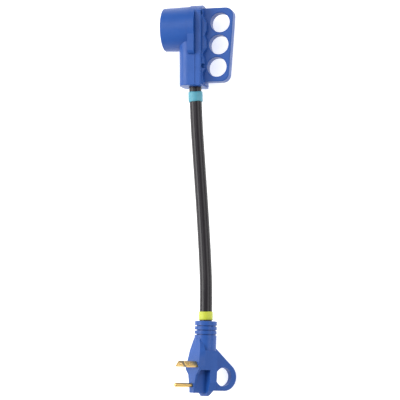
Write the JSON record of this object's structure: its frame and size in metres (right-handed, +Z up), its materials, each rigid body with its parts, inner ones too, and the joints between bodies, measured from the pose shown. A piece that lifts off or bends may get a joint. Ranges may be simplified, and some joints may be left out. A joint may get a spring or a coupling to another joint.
{
  "type": "power cord adapter",
  "caption": "Short heavy power adapter cord for a caravan: an angled socket head with a finger handle, thick flexible cable with colour bands, and a moulded pronged plug with a pull loop.",
  "frame": {"origin": "middle of the object's bounding box in X and Y, on the surface it lies on", "axes": "+Z up from the surface; +Y along the cord from the plug to the socket head; the socket's mouth and the prongs point towards -X, the prongs also upwards"},
  "size_m": [0.0912, 0.4852, 0.0664],
  "materials": {
    "blue_plastic": "satin, faint moulding texture",
    "black_insulator": "satin",
    "screw_steel": "dark zinc plate",
    "brass": "polished, lightly worn",
    "white_insulation": "satin",
    "black_insulation": "satin",
    "green_insulation": "satin",
    "cord_rubber": "matt",
    "teal_plastic": "satin",
    "lime_plastic": "satin"
  },
  "bodies": {
    "root": {"front_housing": "blue_plastic", "rear_cover": "blue_plastic", "housing_screws": "screw_steel", "socket_insert": "black_insulator", "contact_retainer": "black_insulator", "hot_contact_near": "brass", "hot_contact_far": "brass", "neutral_contact": "brass", "ground_contact": "brass", "hot_link": "brass", "white_lead_head": "white_insulation", "black_lead_head": "black_insulation", "green_lead_head": "green_insulation", "cord_clamp": "screw_steel", "plug_body": "blue_plastic", "blade_carrier": "black_insulator", "hot_blade": "brass", "neutral_blade": "brass", "ground_pin": "brass", "black_lead_plug": "black_insulation", "white_lead_plug": "white_insulation", "green_lead_plug": "green_insulation", "cord_jacket": "cord_rubber", "teal_band": "teal_plastic", "lime_band": "lime_plastic"}
  },
  "joints": []
}
